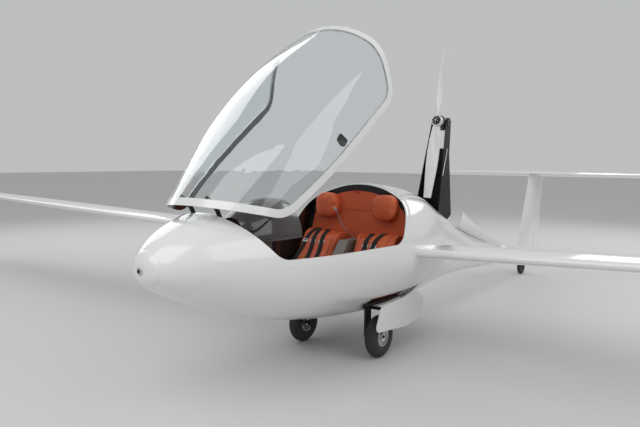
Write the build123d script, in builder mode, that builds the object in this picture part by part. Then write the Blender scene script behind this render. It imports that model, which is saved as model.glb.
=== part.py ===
from build123d import *
import os
from math import cos, radians, sin, sqrt

os.makedirs("parts", exist_ok=True)

# Self-launching side-by-side motor glider, parked nose-up on its three wheels.
# +X points to the nose, +Y to port, +Z up; the ground is z = 0. Millimetres.

# Fuselage pod: oval sections from the nose to the start of the tail boom.
skin = 18.0
fit = 0.3
seam = 5.0
pod_sections = (
    # station, half width, top height, bottom height, shoulder radius
    (3630.0, 128.0, 1046.0, 832.0, 116.0),
    (3540.0, 216.0, 1116.0, 774.0, 190.0),
    (3380.0, 316.0, 1196.0, 702.0, 275.0),
    (3080.0, 432.0, 1272.0, 576.0, 350.0),
    (2560.0, 547.0, 1366.0, 430.0, 330.0),
    (1900.0, 577.0, 1432.0, 332.0, 295.0),
    (1330.0, 572.0, 1380.0, 298.0, 280.0),
    (800.0, 465.0, 1312.0, 302.0, 240.0),
    (330.0, 330.0, 1155.0, 325.0, 165.0),
    (0.0, 262.0, 1030.0, 342.0, 105.0),
    (-300.0, 218.0, 905.0, 350.0, 95.0),
    (-1000.0, 165.0, 690.0, 325.0, 125.0),
    (-1700.0, 118.0, 530.0, 284.0, 121.0),
    (-2050.0, 103.0, 484.0, 264.0, 106.0),
)
nose_sections = (
    (3676.0, 48.0, 978.0, 888.0, 46.0),
    (3668.0, 77.0, 1003.0, 867.0, 71.0),
    (3656.0, 101.0, 1024.0, 850.0, 92.0),
    (3644.0, 117.0, 1037.0, 839.0, 106.0),
    (3630.0, 128.0, 1046.0, 832.0, 116.0),
)
boom_sections = (
    (-2050.0, 103.0, 484.0, 264.0, 106.0),
    (-2400.0, 88.0, 440.0, 246.0, 92.0),
    (-3000.0, 62.0, 392.0, 238.0, 69.0),
    (-3222.0, 44.0, 374.0, 246.0, 53.0),
)
side_turn = 20.0
crown_turn = 30.0
nose_tip = 3687.0
pod_split = 210.0

# Cockpit opening, drawn from the side: the shut line, and the flange that the canopy lands on.
sill_rear = (1599.0, 881.0)
sill_front = (2975.0, 905.0)
rim_rear_top = (1121.0, 1600.0)
rim_front_top = (3562.0, 1600.0)
sill_corner = 200.0
flange_width = 42.0
canopy_band = 52.0
frame_skin = 8.0
glass_thickness = 5.0
glass_inset = 3.0

# Canopy hinge in the nose, and how far the canopy stands open.
canopy_pivot = (3380.0, 1120.0)
canopy_open = 37.6

# Engine bay on top of the fuselage, behind the cockpit.
bay_front = 200.0
bay_door_front = -200.0
bay_aft = -1770.0
bay_half_front = 215.0
bay_half_aft = 80.0
bay_floor_front = 640.0
bay_floor_aft = 440.0
bay_door_open = 86.0
door_edge_gap = 17.0

# Wings.
wing_root = (1400.0, 300.0, 817.5)
wing_incidence = 5.2
wing_dihedral = 1.83
wing_stations = (
    # distance from the centreline, chord, sweep back of the leading edge
    (300.0, 990.0, 0.0),
    (4700.0, 820.0, 0.0),
    (6650.0, 610.0, 60.0),
    (7485.0, 330.0, 240.0),
)
airfoil_nose_upper = (0.030, 0.0385)
airfoil_crest_upper = (0.35, 0.078)
airfoil_nose_lower = (0.026, -0.030)
airfoil_crest_lower = (0.33, -0.0513)
trailing_half = 0.003
flaperon_start = 640.0
flaperon_end = 6600.0
flaperon_gap = 12.0
flaperon_root_chord = 190.0
flaperon_tip_chord = 120.0
hinge_pin = 4.0
hinge_camber = 0.007
flap_offset = 14.0

# Fin, rudder and T tail.
fin_thickness = 86.0
fin_root_lead = (-2640.0, 340.0)
fin_tip_lead = (-3080.0, 1392.0)
rudder_hinge_foot = (-3262.0, 262.0)
rudder_hinge_top = (-3470.0, 1392.0)
rudder_trail_foot = (-3540.0, 300.0)
rudder_trail_top = (-3687.0, 1366.0)
rudder_gap = 8.0
rudder_nose = 26.0
tailplane_height = 1400.0
tailplane_lead = -3050.0
tailplane_half = 1420.0
tailplane_root_chord = 560.0
tailplane_tip_chord = 360.0
tailplane_thickness = 56.0
elevator_share = 170.0

# Landing gear.
wheel_station = 1646.0
wheel_track = 762.0
tyre_radius = 170.0
tyre_width = 102.0
rim_radius = 78.0
axle_radius = 12.0
leg_width = 74.0
leg_thickness = 22.0
well_front = 1850.0
well_rear = 1060.0
well_inner = 250.0
well_outer = 470.0
tail_wheel_station = -2845.0
tail_wheel_radius = 100.0
tail_wheel_width = 52.0
tail_stem = (-2815.0, 228.0)
stem_radius = 10.0
stem_length = 70.0

# Cockpit.
floor_height = 470.0
floor_thickness = 20.0
floor_front = 3300.0
bulkhead_rear = 1335.0
bulkhead_middle = 1353.0
bulkhead_front = 1378.0
back_panel_inset = 75.0
seat_middle = 265.0
seat_width = 390.0
headrest_middle = 290.0
headrest_width = 226.0
headrest_height = 220.0
headrest_centre = 1179.0
headrest_depth = 98.0
console_width = 96.0

# Mast, motor and propeller.
mast_pivot = (90.0, 945.0)
mast_shaft_radius = 14.0
mast_half_foot = 146.0
mast_half_top = 80.0
cheek = 8.0
hub_centre = (-108.0, 1980.0)
mast_lean = 14.0
motor_radius = 70.0
motor_length = 90.0


def section_plane(station, height):
    return Plane(origin=(station, 0, height), x_dir=(0, 1, 0), z_dir=(1, 0, 0))


def side_plane(offset):
    return Plane(origin=(0, offset, 0), x_dir=(1, 0, 0), z_dir=(0, -1, 0))


def bay_half(station):
    share = (bay_front - station) / (bay_front - bay_aft)
    return bay_half_front + share * (bay_half_aft - bay_half_front)


def pod_outline(half, rise, shoulder):
    # upper half: flat sides, a shoulder arc and a flat crown that meet tangent to each other
    side_cos = cos(radians(side_turn))
    side_sin = sin(radians(side_turn))
    crown_cos = cos(radians(crown_turn))
    crown_sin = sin(radians(crown_turn))
    reach = half + shoulder * (crown_sin - side_cos)
    climb = rise - shoulder * (crown_cos - side_sin)
    scale = (1 - side_cos) * (1 - crown_cos) - crown_sin * side_sin
    side = (reach * (1 - crown_cos) - climb * crown_sin) / scale
    crown = (climb * (1 - side_cos) - reach * side_sin) / scale
    corner = (half - side + (side - shoulder) * side_cos, (side - shoulder) * side_sin)
    corner_turn = 90 - side_turn - crown_turn
    CenterArc((half - side, 0), side, 0, side_turn)
    CenterArc(corner, shoulder, side_turn, corner_turn)
    CenterArc((0, rise - crown), crown, 90 - crown_turn, 2 * crown_turn)
    CenterArc((-corner[0], corner[1]), shoulder, 90 + crown_turn, corner_turn)
    CenterArc((side - half, 0), side, 180 - side_turn, side_turn)
    # lower half: arcs that meet on the 45 degree normals
    flank = (rise - (sqrt(2) - 1) * half) / (2 - sqrt(2))
    keel = half + rise - flank
    CenterArc((flank - half, 0), flank, 180, 45)
    CenterArc((0, keel - rise), keel, 225, 90)
    CenterArc((half - flank, 0), flank, 315, 45)


# The pod's outer form and the forms inside it, one loft for each depth below the surface.
depths = {
    "outer": 0.0,
    "glass_outer": glass_inset,
    "panel_inner": frame_skin,
    "landing": frame_skin + fit,
    "cavity": skin,
    "cabin": skin + fit,
}
forms = {}
for form_name, depth in depths.items():
    with BuildPart() as form:
        for station, half, top, bottom, shoulder in pod_sections:
            with BuildSketch(section_plane(station, (top + bottom) / 2)):
                with BuildLine():
                    pod_outline(half - depth, (top - bottom) / 2 - depth, shoulder - depth)
                make_face()
        loft()
    forms[form_name] = form.part
with BuildPart() as nose_cap:
    for station, half, top, bottom, shoulder in nose_sections:
        with BuildSketch(section_plane(station, (top + bottom) / 2)):
            with BuildLine():
                pod_outline(half, (top - bottom) / 2, shoulder)
            make_face()
    loft()

# Side-view prisms of the cockpit opening: the shut line, the canopy, the flange and the glass.
prisms = {}
for prism_name, inset in (
    ("opening", 0.0), ("canopy", seam), ("flange", flange_width),
    ("strip", flange_width + 2.0), ("band", seam + canopy_band),
):
    with BuildPart() as prism:
        with BuildSketch(side_plane(0)):
            with BuildLine():
                FilletPolyline(
                    rim_rear_top, sill_rear, sill_front, rim_front_top,
                    radius=sill_corner,
                )
                Line(rim_front_top, rim_rear_top)
            make_face()
            if inset:
                offset(amount=-inset, mode=Mode.REPLACE)
        extrude(amount=900, both=True)
    prisms[prism_name] = prism.part

# Slab above the engine bay's sloping edge, and the wedge that cuts the bay's opening in the pod.
with BuildPart() as above_bay:
    with BuildSketch(side_plane(0)):
        with BuildLine():
            Polyline(
                (bay_front + 10, bay_floor_front), (bay_aft - 10, bay_floor_aft),
                (bay_aft - 10, 1700), (bay_front + 10, 1700), close=True,
            )
        make_face()
    extrude(amount=400, both=True)

with BuildPart() as bay_cutter:
    with BuildSketch(Plane.XY.offset(430)):
        with BuildLine():
            Polyline(
                (bay_front, -bay_half_front), (bay_front, bay_half_front),
                (bay_aft, bay_half_aft), (bay_aft, -bay_half_aft), close=True,
            )
        make_face()
    extrude(amount=1200)
    add(above_bay.part, mode=Mode.INTERSECT)

with BuildPart() as door_halves:
    with BuildSketch(Plane.XY.offset(430)):
        with BuildLine():
            Polyline(
                (bay_door_front, seam / 2),
                (bay_door_front, bay_half(bay_door_front) - door_edge_gap),
                (bay_aft + seam, bay_half_aft - door_edge_gap),
                (bay_aft + seam, seam / 2), close=True,
            )
        make_face()
    extrude(amount=1200)
    add(above_bay.part, mode=Mode.INTERSECT)

# Fuselage pod: a hollow shell with the cockpit opening, a flange round it and the wheel wells.
with BuildPart() as opening_recess:
    add(prisms["opening"])
    add(forms["landing"], mode=Mode.SUBTRACT)
with BuildPart() as fuselage_pod:
    add(forms["outer"])
    add(nose_cap.part)
    add(forms["cavity"], mode=Mode.SUBTRACT)
    add(prisms["flange"], mode=Mode.SUBTRACT)
    add(opening_recess.part, mode=Mode.SUBTRACT)
    split(bisect_by=Plane(origin=(pod_split, 0, 0), z_dir=(1, 0, 0)), keep=Keep.TOP)
    for side in (1, -1):
        with Locations((
            (well_front + well_rear) / 2, side * (well_inner + well_outer) / 2, 380,
        )):
            Box(well_front - well_rear, well_outer - well_inner, 260, mode=Mode.SUBTRACT)
    # bore for the nose inlet
    with BuildSketch(section_plane(nose_tip, 932)):
        Circle(20)
    extrude(amount=-120, mode=Mode.SUBTRACT)
fuselage_pod.part.label = "fuselage_pod"
export_step(fuselage_pod.part, "parts/fuselage_pod.step")

# Rear fuselage: the tapered shell behind the pod, open on top over the engine bay.
with BuildPart() as rear_fuselage:
    add(forms["outer"])
    add(forms["cavity"], mode=Mode.SUBTRACT)
    add(bay_cutter.part, mode=Mode.SUBTRACT)
    split(bisect_by=Plane(origin=(pod_split, 0, 0), z_dir=(1, 0, 0)), keep=Keep.BOTTOM)
rear_fuselage.part.label = "rear_fuselage"
export_step(rear_fuselage.part, "parts/rear_fuselage.step")

# Nose inlet: a collar in the tip of the nose.
with BuildPart() as nose_inlet:
    with BuildSketch(section_plane(nose_tip, 932)):
        Circle(20)
        Circle(12, mode=Mode.SUBTRACT)
    extrude(amount=-60)
nose_inlet.part.label = "nose_inlet"
export_step(nose_inlet.part, "parts/nose_inlet.step")

# Tailplane and elevator: one flat aerofoil across the top of the fin, split at the hinge.
with BuildPart() as tail_form:
    for side, chord in (
        (-tailplane_half, tailplane_tip_chord), (0.0, tailplane_root_chord),
        (tailplane_half, tailplane_tip_chord),
    ):
        thick = tailplane_thickness * chord / tailplane_root_chord
        lead = tailplane_lead - (tailplane_root_chord - chord) * 0.45
        with BuildSketch(Plane(origin=(lead, side, tailplane_height), x_dir=(-1, 0, 0),
                               z_dir=(0, 1, 0))):
            with BuildLine():
                upper = ThreePointArc((0, 3), (chord * 0.4, thick / 2), (chord, 2))
                Line(upper @ 1, (chord, -2))
                lower = ThreePointArc((chord, -2), (chord * 0.4, -thick / 2), (0, -3))
                Line(lower @ 1, upper @ 0)
            make_face()
    loft(ruled=True)
rudder_pin = 5.0
rudder_foot = Vector(rudder_hinge_foot[0], 0, rudder_hinge_foot[1])
rudder_dir = Vector(rudder_hinge_top[0], 0, rudder_hinge_top[1]) - rudder_foot
rudder_dir = rudder_dir.normalized()

# Tail boom with the fin moulded on it.
with BuildPart() as tail_boom:
    for station, half, top, bottom, shoulder in boom_sections:
        with BuildSketch(section_plane(station, (top + bottom) / 2)):
            with BuildLine():
                pod_outline(half, (top - bottom) / 2, shoulder)
            make_face()
    loft()
    fin_foot = 300.0
    for height, thick in ((fin_foot, fin_thickness), (tailplane_height - 8, fin_thickness * 0.7)):
        share = (height - fin_root_lead[1]) / (fin_tip_lead[1] - fin_root_lead[1])
        lead = fin_root_lead[0] + share * (fin_tip_lead[0] - fin_root_lead[0])
        slope = (height - rudder_hinge_foot[1]) / (rudder_hinge_top[1] - rudder_hinge_foot[1])
        trail = rudder_hinge_foot[0] + slope * (rudder_hinge_top[0] - rudder_hinge_foot[0])
        trail = trail + rudder_nose + rudder_gap
        crest = lead - 0.42 * (lead - trail)
        with BuildSketch(Plane.XY.offset(height)):
            with BuildLine():
                port = ThreePointArc(
                    (trail, rudder_nose), (crest, thick / 2), (lead, 3),
                )
                Line(port @ 1, (lead, -3))
                starboard = ThreePointArc(
                    (lead, -3), (crest, -thick / 2), (trail, -rudder_nose),
                )
                Line(starboard @ 1, port @ 0)
            make_face()
    loft()
    add(tail_form.part, mode=Mode.SUBTRACT)
    # foot and head bearings of the rudder
    for bearing_low, bearing_high in ((270.0, 292.0), (1346.0, 1358.0)):
        hinge_x = rudder_hinge_foot[0] + (bearing_low - rudder_hinge_foot[1]) / (
            rudder_hinge_top[1] - rudder_hinge_foot[1]) * (
            rudder_hinge_top[0] - rudder_hinge_foot[0])
        with Locations((hinge_x - 18, 0, bearing_low)):
            Box(78, 30, bearing_high - bearing_low,
                align=(Align.MIN, Align.CENTER, Align.MIN))
    with BuildSketch(Plane(origin=rudder_foot, x_dir=(0, 1, 0), z_dir=rudder_dir)):
        Circle(rudder_pin + fit)
    extrude(amount=1400, mode=Mode.SUBTRACT)
    # bore for the tail wheel's stem
    with BuildSketch(Plane.XY.offset(tail_stem[1] - 20)):
        with Locations((tail_stem[0], 0)):
            Circle(stem_radius + fit)
    extrude(amount=20 + stem_length, mode=Mode.SUBTRACT)
tail_boom.part.label = "tail_boom"
export_step(tail_boom.part, "parts/tail_boom.step")

# Rudder: turns on the hinge line behind the fin, with a rounded nose.
hinge_run = (
    rudder_hinge_top[0] - rudder_hinge_foot[0], rudder_hinge_top[1] - rudder_hinge_foot[1],
)
rudder_top = 1336.0
with BuildPart() as rudder:
    for height in (rudder_hinge_foot[1] + 40, rudder_top):
        slope = (height - rudder_hinge_foot[1]) / hinge_run[1]
        hinge = rudder_hinge_foot[0] + slope * hinge_run[0]
        trail = rudder_trail_foot[0] + (height - rudder_trail_foot[1]) / (
            rudder_trail_top[1] - rudder_trail_foot[1]) * (
            rudder_trail_top[0] - rudder_trail_foot[0])
        with BuildSketch(Plane.XY.offset(height)):
            with BuildLine():
                nose = CenterArc((hinge, 0), rudder_nose, -90, 180)
                Line(nose @ 1, (trail, 2))
                Line((trail, 2), (trail, -2))
                Line((trail, -2), nose @ 0)
            make_face()
    loft()
    with BuildSketch(Plane(origin=rudder_foot + rudder_dir * 10, x_dir=(0, 1, 0),
                           z_dir=rudder_dir)):
        Circle(rudder_pin)
    extrude(amount=1104)
rudder.part.label = "rudder"
export_step(rudder.part, "parts/rudder.step")

elevator_pin = 3.0
elevator_offset = 26.0
elevator_line = tailplane_lead - tailplane_root_chord + elevator_share
with BuildPart() as tailplane:
    add(tail_form.part)
    with Locations((elevator_line - 250, 0, tailplane_height)):
        Box(500, 2 * tailplane_half - 120, 120, mode=Mode.SUBTRACT)
    with BuildSketch(side_plane(tailplane_half - 38)):
        with Locations((elevator_line - elevator_offset, tailplane_height)):
            Circle(elevator_pin + fit)
    extrude(amount=2 * tailplane_half - 76, mode=Mode.SUBTRACT)
tailplane.part.label = "tailplane"
export_step(tailplane.part, "parts/tailplane.step")

with BuildPart() as elevator:
    add(tail_form.part)
    with Locations((elevator_line - 12 - 250, 0, tailplane_height)):
        Box(500, 2 * tailplane_half - 132, 120, mode=Mode.INTERSECT)
    with BuildSketch(side_plane(tailplane_half - 40)):
        with Locations((elevator_line - elevator_offset, tailplane_height)):
            Circle(elevator_pin)
    extrude(amount=2 * tailplane_half - 80)
elevator.part.label = "elevator"
export_step(elevator.part, "parts/elevator.step")

# Wings: a lofted aerofoil on each side; the flaperon is the strip behind the hinge line.
with BuildPart() as wing_form:
    for reach, chord, sweep_back in wing_stations:
        origin = (
            wing_root[0] - sweep_back, reach,
            wing_root[2] + (reach - wing_root[1]) * sin(radians(wing_dihedral)),
        )
        chord_dir = (-cos(radians(wing_incidence)), 0, -sin(radians(wing_incidence)))
        with BuildSketch(Plane(origin=origin, x_dir=chord_dir, z_dir=(0, 1, 0))):
            with BuildLine():
                crest_up = (airfoil_crest_upper[0] * chord, airfoil_crest_upper[1] * chord)
                crest_low = (airfoil_crest_lower[0] * chord, airfoil_crest_lower[1] * chord)
                nose_up = TangentArc(
                    (0, 0), (airfoil_nose_upper[0] * chord, airfoil_nose_upper[1] * chord),
                    tangent=(0, 1),
                )
                front_up = TangentArc(nose_up @ 1, crest_up, tangent=nose_up % 1)
                rear_up = TangentArc(
                    front_up @ 1, (chord, trailing_half * chord), tangent=front_up % 1,
                )
                nose_low = TangentArc(
                    (0, 0), (airfoil_nose_lower[0] * chord, airfoil_nose_lower[1] * chord),
                    tangent=(0, -1),
                )
                front_low = TangentArc(nose_low @ 1, crest_low, tangent=nose_low % 1)
                rear_low = TangentArc(
                    front_low @ 1, (chord, -trailing_half * chord), tangent=front_low % 1,
                )
                Line(rear_up @ 1, rear_low @ 1)
            make_face()
    loft(ruled=True)


def chord_at(reach):
    for (a, chord_a, back_a), (b, chord_b, back_b) in zip(wing_stations, wing_stations[1:]):
        if reach <= b:
            share = (reach - a) / (b - a)
            return chord_a + share * (chord_b - chord_a), back_a + share * (back_b - back_a)


def trail_at(reach):
    chord, back = chord_at(reach)
    return wing_root[0] - back - chord * cos(radians(wing_incidence))


flap_x_root = trail_at(flaperon_start) + flaperon_root_chord
flap_x_tip = trail_at(flaperon_end) + flaperon_tip_chord
for piece_name, ahead, ends in (("cut", 0.0, 0.0), ("keep", flaperon_gap, 6.0)):
    with BuildPart() as strip:
        with BuildSketch(Plane.XY.offset(500)):
            with BuildLine():
                Polyline(
                    (flap_x_root - ahead, flaperon_start + ends),
                    (flap_x_tip - ahead, flaperon_end - ends),
                    (flap_x_tip - 400, flaperon_end - ends),
                    (flap_x_root - 400, flaperon_start + ends), close=True,
                )
            make_face()
        extrude(amount=900)
    prisms["flaperon_" + piece_name] = strip.part



def flap_point(line_x, reach):
    chord, back = chord_at(reach)
    lead_z = wing_root[2] + (reach - wing_root[1]) * sin(radians(wing_dihedral))
    drop = (wing_root[0] - back - line_x) * sin(radians(wing_incidence))
    return Vector(line_x, reach, lead_z - drop + hinge_camber * chord)


flap_inner = flap_point(flap_x_root - flaperon_gap - flap_offset, flaperon_start)
flap_outer = flap_point(flap_x_tip - flaperon_gap - flap_offset, flaperon_end)
flap_dir = (flap_outer - flap_inner).normalized()
with BuildPart() as wing_port:
    add(wing_form.part)
    add(prisms["flaperon_cut"], mode=Mode.SUBTRACT)
    add(forms["outer"], mode=Mode.SUBTRACT)
    for start in (flap_inner - flap_dir * 26, flap_outer - flap_dir * 2):
        with BuildSketch(Plane(origin=start, x_dir=(1, 0, 0), z_dir=flap_dir)):
            Circle(hinge_pin + fit)
        extrude(amount=28, mode=Mode.SUBTRACT)
wing_port.part.label = "wing_port"
export_step(wing_port.part, "parts/wing_port.step")

with BuildPart() as flaperon_port:
    add(wing_form.part)
    add(prisms["flaperon_keep"], mode=Mode.INTERSECT)
    for start in (flap_inner - flap_dir * 24, flap_outer - flap_dir * 30):
        with BuildSketch(Plane(origin=start, x_dir=(1, 0, 0), z_dir=flap_dir)):
            Circle(hinge_pin)
        extrude(amount=54)
flaperon_port.part.label = "flaperon_port"
export_step(flaperon_port.part, "parts/flaperon_port.step")

with BuildPart() as wing_starboard:
    add(mirror(wing_port.part, about=Plane.XZ, mode=Mode.PRIVATE))
wing_starboard.part.label = "wing_starboard"
export_step(wing_starboard.part, "parts/wing_starboard.step")

with BuildPart() as flaperon_starboard:
    add(mirror(flaperon_port.part, about=Plane.XZ, mode=Mode.PRIVATE))
flaperon_starboard.part.label = "flaperon_starboard"
export_step(flaperon_starboard.part, "parts/flaperon_starboard.step")

# Canopy, built closed on the pod's own form and then swung open about its hinge.
canopy_axis = Axis((canopy_pivot[0], 0, canopy_pivot[1]), (0, 1, 0))
with BuildPart() as frame_strip:
    add(prisms["strip"])
    add(prisms["band"], mode=Mode.SUBTRACT)
    add(forms["outer"], mode=Mode.INTERSECT)
    add(forms["cavity"], mode=Mode.SUBTRACT)
with BuildPart() as frame_closed:
    add(prisms["canopy"])
    add(prisms["band"], mode=Mode.SUBTRACT)
    add(forms["outer"], mode=Mode.INTERSECT)
    add(forms["panel_inner"], mode=Mode.SUBTRACT)
    add(frame_strip.part)
with BuildPart() as canopy_frame:
    add(frame_closed.part.rotate(canopy_axis, canopy_open))
canopy_frame.part.label = "canopy_frame"
export_step(canopy_frame.part, "parts/canopy_frame.step")

with BuildPart() as glass_closed:
    add(forms["glass_outer"])
    add(forms["panel_inner"], mode=Mode.SUBTRACT)
    add(prisms["band"], mode=Mode.INTERSECT)
with BuildPart() as canopy_glass:
    add(glass_closed.part.rotate(canopy_axis, canopy_open))
canopy_glass.part.label = "canopy_glass"
export_step(canopy_glass.part, "parts/canopy_glass.step")

# Canopy hinge: a shaft across the nose, and two curved arms that reach round the opening's edge.
hinge_shaft = 9.0
arm_width = 16.0
arm_spread = 115.0
arm_reach = 246.0
arm_depth = 24.0
arm_turn_start = 142.0
arm_turn_end = 204.0
with BuildPart() as canopy_shaft:
    with BuildSketch(side_plane(-600)):
        with Locations(canopy_pivot):
            Circle(hinge_shaft)
    extrude(amount=-1200)
    add(forms["cabin"], mode=Mode.INTERSECT)
canopy_shaft.part.label = "canopy_shaft"
export_step(canopy_shaft.part, "parts/canopy_shaft.step")

with BuildPart() as arms_closed:
    for side in (1, -1):
        with BuildSketch(side_plane(side * arm_spread + arm_width / 2)):
            with Locations(canopy_pivot):
                Circle(hinge_shaft + 9)
            with BuildLine():
                inner = arm_reach - arm_depth / 2
                outer = arm_reach + arm_depth / 2
                hook_in = CenterArc(canopy_pivot, inner, arm_turn_start,
                                    arm_turn_end - arm_turn_start)
                hook_out = CenterArc(canopy_pivot, outer, arm_turn_start,
                                     arm_turn_end + 4 - arm_turn_start)
                Line(hook_in @ 0, hook_out @ 0)
                foot_low = (canopy_pivot[0] - 4, canopy_pivot[1] - arm_depth / 2)
                foot_high = (canopy_pivot[0] - 4, canopy_pivot[1] + arm_depth / 2)
                Polyline(hook_out @ 1, foot_low, foot_high, hook_in @ 1)
            make_face()
            with Locations(canopy_pivot):
                Circle(hinge_shaft + fit, mode=Mode.SUBTRACT)
        extrude(amount=arm_width)
    add(forms["cabin"], mode=Mode.INTERSECT)
    tie_turn = radians(arm_turn_end - 2)
    tie_start = (canopy_pivot[0] + arm_reach * cos(tie_turn), -arm_spread,
                 canopy_pivot[1] + arm_reach * sin(tie_turn))
    with BuildSketch(Plane(origin=tie_start, x_dir=(1, 0, 0), z_dir=(0, 1, 0))):
        Circle(7)
    extrude(amount=2 * arm_spread)
with BuildPart() as canopy_arms:
    add(arms_closed.part.rotate(canopy_axis, canopy_open))
canopy_arms.part.label = "canopy_arms"
export_step(canopy_arms.part, "parts/canopy_arms.step")

# Engine bay doors: two halves of the bay's top, each on two pins at the ends of its outer edge.


def pod_surface(station, reach):
    hits = forms["outer"].find_intersection_points(Axis((station, reach, 2000), (0, 0, -1)))
    return max(point.Z for point, normal in hits)


pin_radius = 3.0
pin_length = 30.0
lug_reach = 34.0
lug_depth = 8.0
lug_sink = 3.0
door_tail = bay_aft + seam
pin_front = Vector(
    bay_door_front, bay_half(bay_door_front) - pin_radius - fit,
    pod_surface(bay_door_front, bay_half(bay_door_front)),
)
pin_rear = Vector(
    door_tail, bay_half(door_tail) - pin_radius - fit,
    pod_surface(door_tail, bay_half(door_tail)),
)
door_axis = Axis(pin_rear, pin_front - pin_rear)
with BuildPart() as door_closed:
    add(forms["outer"])
    add(forms["panel_inner"], mode=Mode.SUBTRACT)
    add(door_halves.part, mode=Mode.INTERSECT)
    pin_dir = (pin_front - pin_rear).normalized()
    for pin_end, start in (
        (pin_front, pin_front - pin_dir * pin_length), (pin_rear, pin_rear),
    ):
        climb = pod_surface(pin_end.X, pin_end.Y - lug_reach) - pin_end.Z - lug_sink
        with BuildSketch(Plane(origin=start, x_dir=(0, 1, 0), z_dir=pin_dir)):
            Circle(pin_radius)
            with BuildLine():
                Polyline(
                    (0, 0), (-lug_reach, climb),
                    (-lug_reach, climb - lug_depth), (0, -pin_radius), close=True,
                )
            make_face()
        extrude(amount=pin_length)
with BuildPart() as bay_door_port:
    add(door_closed.part.rotate(door_axis, -bay_door_open))
bay_door_port.part.label = "bay_door_port"
export_step(bay_door_port.part, "parts/bay_door_port.step")

with BuildPart() as bay_door_starboard:
    add(mirror(bay_door_port.part, about=Plane.XZ, mode=Mode.PRIVATE))
bay_door_starboard.part.label = "bay_door_starboard"
export_step(bay_door_starboard.part, "parts/bay_door_starboard.step")

# Cockpit floor, rear bulkhead and equipment shelf, all trimmed to the inside of the pod.
with BuildPart() as cockpit_floor:
    with Locations(((bulkhead_middle + floor_front) / 2, 0, floor_height - floor_thickness / 2)):
        Box(floor_front - bulkhead_middle, 1300, floor_thickness)
    add(forms["cabin"], mode=Mode.INTERSECT)
cockpit_floor.part.label = "cockpit_floor"
export_step(cockpit_floor.part, "parts/cockpit_floor.step")

with BuildPart() as rear_bulkhead:
    with Locations((bulkhead_rear, 0, floor_height - floor_thickness)):
        Box(bulkhead_middle - bulkhead_rear, 1400, 1100,
            align=(Align.MIN, Align.CENTER, Align.MIN))
    add(forms["cabin"], mode=Mode.INTERSECT)
rear_bulkhead.part.label = "rear_bulkhead"
export_step(rear_bulkhead.part, "parts/rear_bulkhead.step")

# Upholstered panel on the front of the bulkhead, smaller than it all round.
with BuildPart() as panel_form:
    for station, half, top, bottom, shoulder in pod_sections[5:8]:
        with BuildSketch(section_plane(station, (top + bottom) / 2)):
            with BuildLine():
                pod_outline(half - back_panel_inset, (top - bottom) / 2 - back_panel_inset,
                            shoulder - back_panel_inset)
            make_face()
    loft()
with BuildPart() as back_panel:
    with Locations((bulkhead_middle, 0, floor_height + fit)):
        Box(bulkhead_front - bulkhead_middle, 1400, 1100,
            align=(Align.MIN, Align.CENTER, Align.MIN))
    add(panel_form.part, mode=Mode.INTERSECT)
back_panel.part.label = "back_panel"
export_step(back_panel.part, "parts/back_panel.step")

shelf_front = bulkhead_rear
shelf_rear = 430.0
shelf_height = 490.0
shelf_thickness = 12.0
with BuildPart() as equipment_shelf:
    with Locations(((shelf_front + shelf_rear) / 2, 0, shelf_height - shelf_thickness / 2)):
        Box(shelf_front - shelf_rear, 1300, shelf_thickness)
    add(forms["cabin"], mode=Mode.INTERSECT)
equipment_shelf.part.label = "equipment_shelf"
export_step(equipment_shelf.part, "parts/equipment_shelf.step")

battery_length = 620.0
battery_width = 380.0
battery_height = 240.0
with BuildPart() as battery_pack:
    with Locations(((shelf_front + shelf_rear) / 2, 0, shelf_height)):
        Box(battery_length, battery_width, battery_height,
            align=(Align.CENTER, Align.CENTER, Align.MIN))
    fillet(battery_pack.edges().filter_by(Axis.Z), 15)
battery_pack.part.label = "battery_pack"
export_step(battery_pack.part, "parts/battery_pack.step")

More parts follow.
